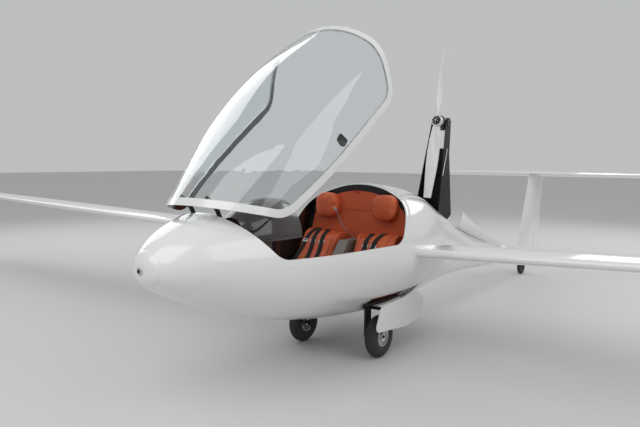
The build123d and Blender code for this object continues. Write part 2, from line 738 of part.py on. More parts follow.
# Seats: one-piece reclined cushions, with separate headrests on the bulkhead.
seat_outline = (
    (bulkhead_front + fit, floor_height + fit),
    (bulkhead_front + fit, 950),
    (1470, 976),
    (1530, 950),
    (1640, 790),
    (1790, 650),
    (2240, 690),
    (2300, 620),
    (2300, floor_height + fit),
)
stick_middle = 205.0
strap_thickness = 3.0
strap_width = 46.0
for side_name, side in (("port", 1), ("starboard", -1)):
    middle = side * seat_middle
    with BuildPart() as seat:
        with BuildSketch(side_plane(middle + seat_width / 2)):
            with BuildLine():
                Polyline(*seat_outline, close=True)
            make_face()
        extrude(amount=seat_width)
        add(forms["cabin"], mode=Mode.INTERSECT)
    seat.part.label = "seat_" + side_name
    export_step(seat.part, "parts/seat_" + side_name + ".step")

    with BuildPart() as headrest:
        with Locations((bulkhead_front + fit, side * headrest_middle, headrest_centre)):
            Box(headrest_depth, headrest_width, headrest_height,
                align=(Align.MIN, Align.CENTER, Align.CENTER))
        fillet(headrest.edges().filter_by(Axis.X), 86)
        fillet(headrest.faces().sort_by(Axis.X)[-1].edges(), 34)
    headrest.part.label = "headrest_" + side_name
    export_step(headrest.part, "parts/headrest_" + side_name + ".step")

    with BuildPart() as harness:
        for strap_side in (-1, 1):
            with BuildSketch(side_plane(middle + strap_side * 62 + strap_width / 2)):
                with BuildLine():
                    Polyline(*seat_outline, close=True)
                make_face()
                offset(amount=fit + strap_thickness, kind=Kind.INTERSECTION,
                       mode=Mode.REPLACE)
            extrude(amount=strap_width)
        with BuildSketch(side_plane(middle + 200)):
            with BuildLine():
                Polyline(*seat_outline, close=True)
            make_face()
            offset(amount=fit, kind=Kind.INTERSECTION, mode=Mode.REPLACE)
        extrude(amount=400, mode=Mode.SUBTRACT)
        with Locations((1650, middle, 860)):
            Box(360, 400, 480, mode=Mode.INTERSECT)
        with Locations(Location((1745, middle, 692), (0, 43.0, 0))):
            Box(50, 150, strap_thickness * 4)
        with BuildSketch(side_plane(middle + 200)):
            with BuildLine():
                Polyline(*seat_outline, close=True)
            make_face()
            offset(amount=fit, kind=Kind.INTERSECTION, mode=Mode.REPLACE)
        extrude(amount=400, mode=Mode.SUBTRACT)
    harness.part.label = "harness_" + side_name
    export_step(harness.part, "parts/harness_" + side_name + ".step")

    with BuildPart() as control_stick:
        with BuildSketch(Plane.XY.offset(floor_height)):
            with Locations((2360, side * stick_middle)):
                Circle(22)
        extrude(amount=14)
        with BuildSketch(Plane.XY.offset(floor_height)):
            with Locations((2360, side * stick_middle)):
                Circle(9)
        extrude(amount=300)
        with BuildSketch(Plane.XY.offset(floor_height + 200)):
            with Locations((2360, side * stick_middle)):
                Circle(17)
        extrude(amount=120)
    control_stick.part.label = "control_stick_" + side_name
    export_step(control_stick.part, "parts/control_stick_" + side_name + ".step")

# Centre console between the seats.
with BuildPart() as centre_console:
    with BuildSketch(side_plane(console_width / 2)):
        with BuildLine():
            Polyline(
                (bulkhead_front, floor_height), (bulkhead_front, 905), (1600, 905),
                (1760, 720), (2200, 650), (2200, floor_height), close=True,
            )
        make_face()
    extrude(amount=console_width)
centre_console.part.label = "centre_console"
export_step(centre_console.part, "parts/centre_console.step")

# Gooseneck microphone on the console.
with BuildPart() as gooseneck_microphone:
    with BuildLine() as neck:
        FilletPolyline(
            (1440, 0, 915), (1450, 0, 960), (1640, 0, 1010), (1722, 0, 1110), (1740, 0, 1150),
            radius=30,
        )
    with BuildSketch(Plane(origin=neck.line @ 0, z_dir=neck.line % 0)):
        Circle(4.5)
    sweep()
    with BuildSketch(Plane.XY.offset(905)):
        with Locations((1440, 0)):
            Circle(13)
    extrude(amount=12)
    with BuildSketch(Plane(origin=neck.line @ 1, z_dir=neck.line % 1)):
        Circle(11)
    extrude(amount=34)
gooseneck_microphone.part.label = "gooseneck_microphone"
export_step(gooseneck_microphone.part, "parts/gooseneck_microphone.step")

# Instrument pedestal, panel and the hood over them.
hood_base = 1030.0
hood_wall = 8.0
hood_sections = (
    # station, half width, top height
    (2450.0, 222.0, 1296.0),
    (2620.0, 226.0, 1309.0),
    (2800.0, 206.0, 1268.0),
    (2940.0, 130.0, 1190.0),
)
hood_rear = hood_sections[0][0]
pedestal_rear = 2620.0
pedestal_front = 2820.0
pedestal_half = 105.0
pedestal_middle = (pedestal_rear + pedestal_front) / 2
with BuildPart() as instrument_pedestal:
    with Locations((pedestal_middle, 0, (floor_height + hood_base) / 2)):
        Box(pedestal_front - pedestal_rear, 2 * pedestal_half, hood_base - floor_height)
    fillet(instrument_pedestal.edges().filter_by(Axis.Z), 30)
    add(forms["cabin"], mode=Mode.INTERSECT)
instrument_pedestal.part.label = "instrument_pedestal"
export_step(instrument_pedestal.part, "parts/instrument_pedestal.step")

hood_forms = {}
for wall in (0.0, hood_wall, hood_wall + fit):
    with BuildPart() as hood_form:
        for station, half, top in hood_sections:
            rise = top - hood_base
            with BuildSketch(section_plane(station - wall, hood_base)):
                Ellipse(half - wall, rise - wall)
                with Locations((0, wall - rise)):
                    Rectangle(2 * half, 2 * rise, mode=Mode.SUBTRACT)
        loft()
    hood_forms[wall] = hood_form.part
with BuildPart() as instrument_shroud:
    add(hood_forms[0.0])
    add(hood_forms[hood_wall], mode=Mode.SUBTRACT)
instrument_shroud.part.label = "instrument_shroud"
export_step(instrument_shroud.part, "parts/instrument_shroud.step")

panel_station = hood_rear + 25.0
panel_thickness = 10.0
dial_recess = 4.0
dial_places = ((-135, 95), (-95, 170), (0, 205), (95, 170), (135, 95))
with BuildPart() as instrument_panel:
    with Locations((panel_station, 0, hood_base)):
        Box(panel_thickness, 600, 300, align=(Align.MIN, Align.CENTER, Align.MIN))
    add(hood_forms[hood_wall + fit], mode=Mode.INTERSECT)
    with BuildSketch(section_plane(panel_station, hood_base)):
        with Locations(*dial_places):
            Circle(28)
        with Locations((0, 105)):
            Rectangle(150, 92)
    extrude(amount=dial_recess, mode=Mode.SUBTRACT)
instrument_panel.part.label = "instrument_panel"
export_step(instrument_panel.part, "parts/instrument_panel.step")

# Rudder pedals on a tube across the footwell.
with BuildPart() as rudder_pedals:
    with BuildSketch(side_plane(-600)):
        with Locations((2960, 860)):
            Circle(10)
    extrude(amount=-1200)
    for middle in (-330, -200, 200, 330):
        with Locations((2960, middle, 785)):
            Box(10, 70, 150)
    add(forms["cabin"], mode=Mode.INTERSECT)
rudder_pedals.part.label = "rudder_pedals"
export_step(rudder_pedals.part, "parts/rudder_pedals.step")

# Main gear: a flat leg from the floor, an axle, a rim, a tyre and a door carried by the leg.
half_track = wheel_track / 2
leg_outer = half_track - tyre_width / 2 - 46
gear_door_outline = (
    (1740, 427), (1140, 463), (1024, 380), (1036, 236), (1325, 197), (1824, 239),
)
gear_door_plane = half_track + tyre_width / 2 + 18
gear_door_skin = 6.0
with BuildPart() as gear_leg_port:
    with BuildSketch(side_plane(leg_outer)):
        with Locations((wheel_station, (floor_height - floor_thickness + tyre_radius) / 2)):
            Rectangle(leg_width, floor_height - floor_thickness - tyre_radius)
        with Locations((wheel_station, tyre_radius)):
            Circle(leg_width / 2)
    extrude(amount=leg_thickness)
    with BuildSketch(side_plane(leg_outer)):
        with Locations((wheel_station, tyre_radius)):
            Circle(axle_radius)
    extrude(amount=-(half_track + tyre_width / 2 - leg_outer - 4))
    with BuildSketch(side_plane(leg_outer)):
        with Locations((wheel_station, tyre_radius)):
            Circle(axle_radius + 10)
    extrude(amount=-38)
    with BuildSketch(side_plane(leg_outer)):
        with Locations((wheel_station - 26, 392), (wheel_station + 26, 392)):
            Circle(7)
    extrude(amount=-(gear_door_plane - leg_outer))
gear_leg_port.part.label = "gear_leg_port"
export_step(gear_leg_port.part, "parts/gear_leg_port.step")

with BuildPart() as gear_door_port:
    with BuildSketch(side_plane(gear_door_plane)):
        with BuildLine():
            FilletPolyline(*gear_door_outline, close=True, radius=40)
        make_face()
    extrude(amount=-gear_door_skin)
gear_door_port.part.label = "gear_door_port"
export_step(gear_door_port.part, "parts/gear_door_port.step")

rim_width = 84.0
with BuildPart() as main_rim_port:
    with BuildSketch(Plane.XY):
        with BuildLine():
            Polyline(
                (axle_radius + fit, -rim_width / 2), (axle_radius + 18, -rim_width / 2),
                (axle_radius + 18, 8), (rim_radius - 14, 14), (rim_radius - 10, -rim_width / 2),
                (rim_radius, -rim_width / 2), (rim_radius, rim_width / 2),
                (rim_radius - 10, rim_width / 2), (rim_radius - 14, 26),
                (axle_radius + 18, 22), (axle_radius + 18, rim_width / 2),
                (axle_radius + fit, rim_width / 2), close=True,
            )
        make_face()
    revolve(axis=Axis.Y)
    with BuildSketch(Plane.XZ.offset(-60)):
        with PolarLocations(46, 8):
            Circle(8)
    extrude(amount=120, mode=Mode.SUBTRACT)
main_rim_port.part = main_rim_port.part.moved(Location((wheel_station, half_track, tyre_radius)))
main_rim_port.part.label = "main_rim_port"
export_step(main_rim_port.part, "parts/main_rim_port.step")

# Main tyre: a balloon section on the rim.
with BuildPart() as main_tyre_port:
    with BuildSketch(Plane.XY):
        with BuildLine():
            Line((rim_radius, -rim_width / 2), (rim_radius, rim_width / 2))
            Line((rim_radius, rim_width / 2), (rim_radius + 14, rim_width / 2 + 4))
            ThreePointArc(
                (rim_radius + 14, rim_width / 2 + 4), (tyre_radius - 44, tyre_width / 2),
                (tyre_radius - 14, tyre_width / 2 - 16),
            )
            ThreePointArc(
                (tyre_radius - 14, tyre_width / 2 - 16), (tyre_radius, 0),
                (tyre_radius - 14, -tyre_width / 2 + 16),
            )
            ThreePointArc(
                (tyre_radius - 14, -tyre_width / 2 + 16), (tyre_radius - 44, -tyre_width / 2),
                (rim_radius + 14, -rim_width / 2 - 4),
            )
            Line((rim_radius + 14, -rim_width / 2 - 4), (rim_radius, -rim_width / 2))
        make_face()
    revolve(axis=Axis.Y)
main_tyre_port.part = main_tyre_port.part.moved(
    Location((wheel_station, half_track, tyre_radius)))
main_tyre_port.part.label = "main_tyre_port"
export_step(main_tyre_port.part, "parts/main_tyre_port.step")

for piece_name, piece in (
    ("gear_leg", gear_leg_port), ("gear_door", gear_door_port),
    ("main_rim", main_rim_port), ("main_tyre", main_tyre_port),
):
    with BuildPart() as twin:
        add(mirror(piece.part, about=Plane.XZ, mode=Mode.PRIVATE))
    twin.part.label = piece_name + "_starboard"
    export_step(twin.part, "parts/" + piece_name + "_starboard.step")

# Steerable tail wheel under the boom.
fork_gap = 4.0
fork_plate = 6.0
with BuildPart() as tail_fork:
    for side in (1, -1):
        with BuildSketch(side_plane(side * (tail_wheel_width / 2 + fork_gap)
                                    + (fork_plate if side > 0 else 0))):
            with BuildLine():
                Polyline(
                    (tail_wheel_station - 16, tail_wheel_radius),
                    (tail_stem[0] - 26, tail_stem[1]), (tail_stem[0] + 22, tail_stem[1]),
                    (tail_wheel_station + 16, tail_wheel_radius), close=True,
                )
            make_face()
            with Locations((tail_wheel_station, tail_wheel_radius)):
                Circle(16)
        extrude(amount=fork_plate)
    with Locations((tail_stem[0] - 2, 0, tail_stem[1] - 5)):
        Box(48, tail_wheel_width + 2 * fork_gap + 2 * fork_plate, 10)
    with BuildSketch(Plane.XY.offset(tail_stem[1] - 2)):
        with Locations((tail_stem[0], 0)):
            Circle(stem_radius)
    extrude(amount=stem_length)
    with BuildSketch(side_plane(-tail_wheel_width / 2 - fork_gap - fork_plate)):
        with Locations((tail_wheel_station, tail_wheel_radius)):
            Circle(6)
    extrude(amount=-(tail_wheel_width + 2 * fork_gap + 2 * fork_plate))
tail_fork.part.label = "tail_fork"
export_step(tail_fork.part, "parts/tail_fork.step")

with BuildPart() as tail_wheel:
    with BuildSketch(side_plane(tail_wheel_width / 2)):
        with Locations((tail_wheel_station, tail_wheel_radius)):
            Circle(tail_wheel_radius)
            Circle(6 + fit, mode=Mode.SUBTRACT)
    extrude(amount=tail_wheel_width)
    fillet(tail_wheel.edges().filter_by(GeomType.CIRCLE).sort_by(SortBy.RADIUS)[-2:], 18)
tail_wheel.part.label = "tail_wheel"
export_step(tail_wheel.part, "parts/tail_wheel.step")

# Mast: two tapered cheeks joined by cross webs, on a shaft across the engine bay.
mast_outline = (
    (124.0, 925.0), (122.0, 985.0), (37.0, 1266.0), (-48.0, 1608.0), (-150.0, 1985.0),
    (-172.0, 2014.0), (-262.0, 1990.0), (-192.0, 1641.0), (-186.0, 1010.0), (56.0, 905.0),
)
with BuildPart() as mast_shaft:
    with BuildSketch(side_plane(-400)):
        with Locations(mast_pivot):
            Circle(mast_shaft_radius)
    extrude(amount=-800)
    add(forms["cabin"], mode=Mode.INTERSECT)
mast_shaft.part.label = "mast_shaft"
export_step(mast_shaft.part, "parts/mast_shaft.step")

mast_foot_height = 905.0
mast_top_height = 2014.0
motor_dir = Vector(cos(radians(mast_lean)), 0, sin(radians(mast_lean)))
blade_dir = Vector(-sin(radians(mast_lean)), 0, cos(radians(mast_lean)))
hub = Vector(hub_centre[0], 0, hub_centre[1])
hub_half = 22.0
web = 8.0


def mast_half(height):
    share = (height - mast_foot_height) / (mast_top_height - mast_foot_height)
    return mast_half_foot + share * (mast_half_top - mast_half_foot)


with BuildPart() as mast_frame:
    with BuildSketch(side_plane(200)):
        with BuildLine():
            Polyline(*mast_outline, close=True)
        make_face()
    extrude(amount=400)
    with BuildSketch(Plane(origin=(-400, 0, 0), x_dir=(0, 1, 0), z_dir=(1, 0, 0))):
        with BuildLine():
            Polyline(
                (-mast_half_foot, mast_foot_height - 1), (mast_half_foot, mast_foot_height - 1),
                (mast_half_top, mast_top_height + 1), (-mast_half_top, mast_top_height + 1),
                close=True,
            )
        make_face()
    extrude(amount=700, mode=Mode.INTERSECT)
    with BuildSketch(Plane(origin=(-400, 0, 0), x_dir=(0, 1, 0), z_dir=(1, 0, 0))):
        with BuildLine():
            Polyline(
                (-mast_half_foot + cheek, mast_foot_height - 20),
                (mast_half_foot - cheek, mast_foot_height - 20),
                (mast_half_top - cheek, mast_top_height + 20),
                (-mast_half_top + cheek, mast_top_height + 20),
                close=True,
            )
        make_face()
    extrude(amount=700, mode=Mode.SUBTRACT)
    # cross webs between the cheeks
    for station, height, length in ((-50.0, 1110.0, 160.0), (-85.0, 1450.0, 120.0)):
        with Locations((station, 0, height)):
            Box(length, 2 * mast_half(height) - cheek, web)
    with BuildSketch(Plane(origin=hub - motor_dir * (hub_half + 8 + motor_length + 8),
                           x_dir=(0, 1, 0), z_dir=motor_dir)):
        Rectangle(2 * mast_half_top, 130)
    extrude(amount=8)
    with BuildSketch(side_plane(-200)):
        with Locations(mast_pivot):
            Circle(mast_shaft_radius + fit)
    extrude(amount=-400, mode=Mode.SUBTRACT)
mast_frame.part.label = "mast_frame"
export_step(mast_frame.part, "parts/mast_frame.step")

# Motor: a short drum on the mast's top plate, with the shaft that carries the propeller.
shaft_radius = 12.0
with BuildPart() as motor:
    with BuildSketch(Plane(origin=hub - motor_dir * (hub_half + 8 + motor_length),
                           x_dir=(0, 1, 0), z_dir=motor_dir)):
        Circle(motor_radius)
    extrude(amount=motor_length)
    fillet(motor.edges().filter_by(GeomType.CIRCLE), 8)
    with BuildSketch(Plane(origin=hub - motor_dir * (hub_half + 9),
                           x_dir=(0, 1, 0), z_dir=motor_dir)):
        Circle(shaft_radius)
    extrude(amount=2 * hub_half + 8)
motor.part.label = "motor"
export_step(motor.part, "parts/motor.step")

# Propeller: two lofted blades on a round boss.
blade_sections = (
    # radius, chord, thickness, twist
    (40.0, 72.0, 34.0, 40.0),
    (190.0, 108.0, 22.0, 30.0),
    (330.0, 122.0, 16.0, 22.0),
    (600.0, 104.0, 11.0, 15.0),
    (810.0, 78.0, 7.0, 11.0),
)
with BuildPart() as propeller:
    with BuildSketch(Plane(origin=hub - motor_dir * hub_half, x_dir=(0, 1, 0),
                           z_dir=motor_dir)):
        Circle(58)
    extrude(amount=2 * hub_half)
    for turn in (1, -1):
        for radius, chord, thick, twist in blade_sections:
            out = blade_dir * turn
            across = Vector(0, turn, 0) * cos(radians(twist)) + motor_dir * sin(radians(twist))
            with BuildSketch(Plane(origin=hub + out * radius, x_dir=across, z_dir=out)):
                with BuildLine():
                    ThreePointArc((-chord / 2, 0), (-chord * 0.1, thick * 0.65), (chord / 2, 0))
                    ThreePointArc((chord / 2, 0), (-chord * 0.1, -thick * 0.35), (-chord / 2, 0))
                make_face()
        loft()
    with BuildSketch(Plane(origin=hub - motor_dir * hub_half, x_dir=(0, 1, 0),
                           z_dir=motor_dir)):
        Circle(shaft_radius + fit)
    extrude(amount=2 * hub_half, mode=Mode.SUBTRACT)
propeller.part.label = "propeller"
export_step(propeller.part, "parts/propeller.step")

# Hub plate in front of the propeller, with its ring of bolt holes.
with BuildPart() as hub_plate:
    with BuildSketch(Plane(origin=hub + motor_dir * hub_half, x_dir=(0, 1, 0),
                           z_dir=motor_dir)):
        Circle(44)
        with PolarLocations(30, 6):
            Circle(4.5, mode=Mode.SUBTRACT)
        Circle(8, mode=Mode.SUBTRACT)
    extrude(amount=10)
hub_plate.part.label = "hub_plate"
export_step(hub_plate.part, "parts/hub_plate.step")
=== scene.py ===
import math

import bmesh
import bpy
from mathutils import Matrix, Vector
from mathutils.bvhtree import BVHTree


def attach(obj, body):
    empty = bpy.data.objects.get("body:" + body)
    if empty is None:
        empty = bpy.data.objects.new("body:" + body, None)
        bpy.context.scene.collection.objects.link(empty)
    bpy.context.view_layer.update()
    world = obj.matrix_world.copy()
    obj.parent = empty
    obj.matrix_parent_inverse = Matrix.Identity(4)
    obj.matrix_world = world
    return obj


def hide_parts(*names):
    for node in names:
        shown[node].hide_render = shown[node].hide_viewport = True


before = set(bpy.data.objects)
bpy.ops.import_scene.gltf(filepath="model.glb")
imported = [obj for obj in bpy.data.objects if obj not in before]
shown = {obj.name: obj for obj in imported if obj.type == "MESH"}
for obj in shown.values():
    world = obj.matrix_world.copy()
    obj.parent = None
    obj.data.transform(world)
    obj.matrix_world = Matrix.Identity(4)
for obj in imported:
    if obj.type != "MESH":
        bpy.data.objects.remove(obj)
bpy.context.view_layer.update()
sides = (("port", 1.0), ("starboard", -1.0))

# Camera: a standing visitor's view from ahead of the port wing, with the photograph's
# lens. Its place and lean were fitted to the craft's known lengths.
camera_place = Vector((6.0001, 2.9672, 1.5782))
looking = Vector((-0.80472, -0.58760, -0.08451)).normalized()
rightward = Vector((-0.59019, 0.80723, 0.00718)).normalized()
upward = rightward.cross(looking).normalized()
lens = bpy.data.cameras.new("visitor_lens")
lens.sensor_width = 36.0
lens.lens = 36.08
lens.clip_end = 200.0
camera = bpy.data.objects.new("visitor_camera", lens)
bpy.context.collection.objects.link(camera)
camera.matrix_world = Matrix((
    (rightward.x, upward.x, -looking.x, camera_place.x),
    (rightward.y, upward.y, -looking.y, camera_place.y),
    (rightward.z, upward.z, -looking.z, camera_place.z),
    (0.0, 0.0, 0.0, 1.0),
))
bpy.context.scene.camera = camera
bpy.context.scene.view_settings.view_transform = "Standard"


# Studio floor and light: a pale matt floor that keeps the craft's shadow, and four
# broad soft lamps above it. The world fills in the rest.
def start_finish(name):
    finish = bpy.data.materials.new(name)
    finish.use_nodes = True
    tree = finish.node_tree
    return finish, tree.nodes, tree.links, tree.nodes["Principled BSDF"]


floor_paint, nodes, links, shader = start_finish("pale_floor_paint")
shader.inputs["Roughness"].default_value = 0.75
speckle = nodes.new("ShaderNodeTexNoise")
speckle.inputs["Scale"].default_value = 3.0
tones = nodes.new("ShaderNodeValToRGB")
tones.color_ramp.elements[0].color = (0.60, 0.60, 0.60, 1.0)
tones.color_ramp.elements[1].color = (0.66, 0.66, 0.655, 1.0)
links.new(speckle.outputs["Fac"], tones.inputs["Fac"])
links.new(tones.outputs["Color"], shader.inputs["Base Color"])
bpy.ops.mesh.primitive_plane_add(size=120.0, location=(0.0, 0.0, 0.0))
studio_floor = bpy.context.object
studio_floor.name = "studio_floor"
studio_floor.data.materials.append(floor_paint)

lamp_aim = Vector((0.0, 0.0, 0.8))
for lamp_name, place, width, watts in (
    ("lamp_over_nose", (7.5, 1.0, 6.5), 6.0, 205.0),
    ("lamp_over_port", (1.0, 9.0, 6.5), 8.0, 240.0),
    ("lamp_over_starboard", (-1.0, -9.0, 6.5), 7.0, 215.0),
    ("lamp_over_tail", (-8.5, 1.5, 6.0), 6.0, 200.0),
):
    lamp = bpy.data.objects.new(lamp_name, bpy.data.lights.new(lamp_name, "AREA"))
    lamp.data.size = width
    lamp.data.energy = watts
    lamp.location = place
    lamp.rotation_mode = "QUATERNION"
    lamp.rotation_quaternion = (lamp_aim - Vector(place)).to_track_quat("-Z", "Y")
    bpy.context.collection.objects.link(lamp)

world = bpy.data.worlds.new("pale_hall")
bpy.context.scene.world = world
world.use_nodes = True
backdrop = world.node_tree.nodes["Background"]
backdrop.inputs["Color"].default_value = (0.80, 0.81, 0.82, 1.0)
backdrop.inputs["Strength"].default_value = 0.64


# Boom, tail, wings and doors: glass-fibre shells laid up in moulds and finished in white
# gelcoat, polished to a gloss with a faint long-wave print of the moulds. The group
# soft_wear gives every finish of this file but the floor and the glass its tones, gloss and fine relief.
def group_of(name, inputs, outputs):
    group = bpy.data.node_groups.new(name, "ShaderNodeTree")
    for label, kind, value in inputs:
        socket = group.interface.new_socket(label, in_out="INPUT", socket_type=kind)
        socket.default_value = value
    for label, kind in outputs:
        group.interface.new_socket(label, in_out="OUTPUT", socket_type=kind)
    entry = group.nodes.new("NodeGroupInput")
    leave = group.nodes.new("NodeGroupOutput")
    return group, entry, leave


soft_wear, entry, leave = group_of(
    "soft_wear",
    (("Clean", "NodeSocketColor", (0.8, 0.8, 0.8, 1.0)),
     ("Soiled", "NodeSocketColor", (0.7, 0.7, 0.7, 1.0)),
     ("Patch Size", "NodeSocketFloat", 2.0), ("Ripple Size", "NodeSocketFloat", 5.0),
     ("Gloss", "NodeSocketFloat", 0.1), ("Gloss Spread", "NodeSocketFloat", 0.05)),
    (("Color", "NodeSocketColor"), ("Roughness", "NodeSocketFloat"), ("Height", "NodeSocketFloat")),
)
place = soft_wear.nodes.new("ShaderNodeTexCoord")
patches = soft_wear.nodes.new("ShaderNodeTexNoise")
patches.inputs["Detail"].default_value = 6.0
blend_tones = soft_wear.nodes.new("ShaderNodeMix")
blend_tones.data_type = "RGBA"
ripple = soft_wear.nodes.new("ShaderNodeTexNoise")
ripple.inputs["Detail"].default_value = 1.0
spread = soft_wear.nodes.new("ShaderNodeMath")
spread.operation = "MULTIPLY_ADD"
for source, target in (
    (place.outputs["Object"], patches.inputs["Vector"]),
    (place.outputs["Object"], ripple.inputs["Vector"]),
    (entry.outputs["Patch Size"], patches.inputs["Scale"]),
    (entry.outputs["Ripple Size"], ripple.inputs["Scale"]),
    (patches.outputs["Fac"], blend_tones.inputs["Factor"]),
    (entry.outputs["Clean"], blend_tones.inputs["A"]),
    (entry.outputs["Soiled"], blend_tones.inputs["B"]),
    (patches.outputs["Fac"], spread.inputs[0]),
    (entry.outputs["Gloss Spread"], spread.inputs[1]),
    (entry.outputs["Gloss"], spread.inputs[2]),
    (blend_tones.outputs["Result"], leave.inputs["Color"]),
    (spread.outputs["Value"], leave.inputs["Roughness"]),
    (ripple.outputs["Fac"], leave.inputs["Height"]),
):
    soft_wear.links.new(source, target)


def worn_finish(name, clean, soiled, patch, ripple_size, gloss, gloss_spread, relief):
    finish, nodes, links, shader = start_finish(name)
    wear = nodes.new("ShaderNodeGroup")
    wear.node_tree = soft_wear
    wear.inputs["Clean"].default_value = (*clean, 1.0)
    wear.inputs["Soiled"].default_value = (*soiled, 1.0)
    wear.inputs["Patch Size"].default_value = patch
    wear.inputs["Ripple Size"].default_value = ripple_size
    wear.inputs["Gloss"].default_value = gloss
    wear.inputs["Gloss Spread"].default_value = gloss_spread
    bump = nodes.new("ShaderNodeBump")
    bump.inputs["Distance"].default_value = relief
    links.new(wear.outputs["Color"], shader.inputs["Base Color"])
    links.new(wear.outputs["Roughness"], shader.inputs["Roughness"])
    links.new(wear.outputs["Height"], bump.inputs["Height"])
    links.new(bump.outputs["Normal"], shader.inputs["Normal"])
    return finish, shader


def gelcoat(name):
    finish, shader = worn_finish(
        name, clean=(0.80, 0.80, 0.79), soiled=(0.74, 0.74, 0.73), patch=1.4, ripple_size=2.2,
        gloss=0.10, gloss_spread=0.10, relief=0.0012)
    shader.inputs["Coat Weight"].default_value = 0.6
    shader.inputs["Coat Roughness"].default_value = 0.09
    return finish, shader


def dress(finish, *names):
    for name in names:
        for slot in shown[name].material_slots:
            slot.material = finish


white_gelcoat, _ = gelcoat("white_gelcoat")
dress(
    white_gelcoat, "tail_boom", "tailplane", "elevator", "rudder", "wing_port", "wing_starboard",
    "flaperon_port", "flaperon_starboard", "bay_door_port", "bay_door_starboard",
    "gear_door_port", "gear_door_starboard",
)


# Pod, rear shell and canopy frame: the same gelcoat outside, and a near-black painted
# shade on the side that faces a line through the middle of the piece, where the inside
# lies in shade.
def inner_shade_finish(name, line_start, line_run, shade_colour):
    finish, shader = gelcoat(name)
    nodes, links = finish.node_tree.nodes, finish.node_tree.links
    where = nodes.new("ShaderNodeTexCoord")
    from_start, along_run, from_line, outward, facing = (
        nodes.new("ShaderNodeVectorMath") for step in range(5))
    for node, work in ((from_start, "SUBTRACT"), (along_run, "PROJECT"), (from_line, "SUBTRACT"),
                       (outward, "NORMALIZE"), (facing, "DOT_PRODUCT")):
        node.operation = work
    from_start.inputs[1].default_value = line_start
    along_run.inputs[1].default_value = line_run
    # Faces turned towards the middle line get the painted shade colour instead of the gelcoat.
    shade_mask = nodes.new("ShaderNodeMapRange")
    shade_mask.inputs["From Min"].default_value = -0.26
    shade_mask.inputs["From Max"].default_value = -0.20
    shade_mask.inputs["To Min"].default_value = 1.0
    shade_mask.inputs["To Max"].default_value = 0.0
    two_sides = nodes.new("ShaderNodeMix")
    two_sides.data_type = "RGBA"
    two_sides.inputs["B"].default_value = (*shade_colour, 1.0)
    for source_socket, target in (
        (where.outputs["Object"], from_start.inputs[0]),
        (from_start.outputs["Vector"], along_run.inputs[0]),
        (from_start.outputs["Vector"], from_line.inputs[0]),
        (along_run.outputs["Vector"], from_line.inputs[1]),
        (from_line.outputs["Vector"], outward.inputs[0]),
        (outward.outputs["Vector"], facing.inputs[0]),
        (where.outputs["Normal"], facing.inputs[1]),
        (facing.outputs["Value"], shade_mask.inputs["Value"]),
        (shade_mask.outputs["Result"], two_sides.inputs["Factor"]),
        (shader.inputs["Base Color"].links[0].from_socket, two_sides.inputs["A"]),
        (two_sides.outputs["Result"], shader.inputs["Base Color"]),
    ):
        links.new(source_socket, target)
    return finish


# Painted shade colours for the inner sides of the canopy frame, the pod and the rear shell.
canopy_shade_colour = (0.012, 0.012, 0.013)
pod_shade_colour = (0.022, 0.019, 0.018)
canopy_tilt = math.radians(37.6)
canopy_pivot = Vector((3.38, 0.0, 1.12))
canopy_line_drop = 0.30
frame_white = inner_shade_finish(
    "frame_white",
    canopy_pivot - canopy_line_drop * Vector((math.sin(canopy_tilt), 0.0, math.cos(canopy_tilt))),
    Vector((math.cos(canopy_tilt), 0.0, -math.sin(canopy_tilt))), canopy_shade_colour)
dress(frame_white, "canopy_frame")
pod_white = inner_shade_finish(
    "pod_white", Vector((3.63, 0.0, 0.935)), Vector((1.0, 0.0, 0.054)), pod_shade_colour)
dress(pod_white, "fuselage_pod")
rear_white = inner_shade_finish(
    "rear_white", Vector((0.0, 0.0, 0.69)), Vector((1.0, 0.0, 0.163)), pod_shade_colour)
dress(rear_white, "rear_fuselage")

# Canopy glass: clear acrylic blown in one piece, with a faint cool tint and a trace of
# haze from wiping.
clear_acrylic, nodes, links, shader = start_finish("clear_acrylic")
shader.inputs["Base Color"].default_value = (0.93, 0.97, 0.98, 1.0)
shader.inputs["Transmission Weight"].default_value = 1.0
shader.inputs["IOR"].default_value = 1.49
haze = nodes.new("ShaderNodeTexNoise")
haze.inputs["Scale"].default_value = 30.0
haze_range = nodes.new("ShaderNodeMapRange")
haze_range.inputs["To Min"].default_value = 0.0
haze_range.inputs["To Max"].default_value = 0.015
links.new(haze.outputs["Fac"], haze_range.inputs["Value"])
links.new(haze_range.outputs["Result"], shader.inputs["Roughness"])
dress(clear_acrylic, "canopy_glass")


# Seats, headrests and back panel: foam under orange leather. The covers are pulled over
# the foam and sewn, so each pad is crowned, round at its edges, and drawn in at its seams.
def pressed_pattern(finish, shader, kind, output_name, scale, relief):
    nodes, links = finish.node_tree.nodes, finish.node_tree.links
    spot = nodes.new("ShaderNodeTexCoord")
    pattern = nodes.new(kind)
    pattern.inputs["Scale"].default_value = scale
    emboss = nodes.new("ShaderNodeBump")
    emboss.inputs["Distance"].default_value = relief
    links.new(spot.outputs["Object"], pattern.inputs["Vector"])
    links.new(pattern.outputs[output_name], emboss.inputs["Height"])
    links.new(shader.inputs["Normal"].links[0].from_socket, emboss.inputs["Normal"])
    links.new(emboss.outputs["Normal"], shader.inputs["Normal"])
    return pattern


def grained_finish(name, clean, soiled, patch, gloss, pebbles, relief):
    finish, shader = worn_finish(
        name, clean, soiled, patch, ripple_size=9.0, gloss=gloss, gloss_spread=0.16, relief=0.002)
    pressed_pattern(finish, shader, "ShaderNodeTexVoronoi", "Distance", pebbles, relief)
    return finish


orange_leather = grained_finish(
    "orange_leather", clean=(0.66, 0.120, 0.035), soiled=(0.52, 0.085, 0.025), patch=6.0,
    gloss=0.46, pebbles=420.0, relief=0.0005)
dress(orange_leather, "back_panel")


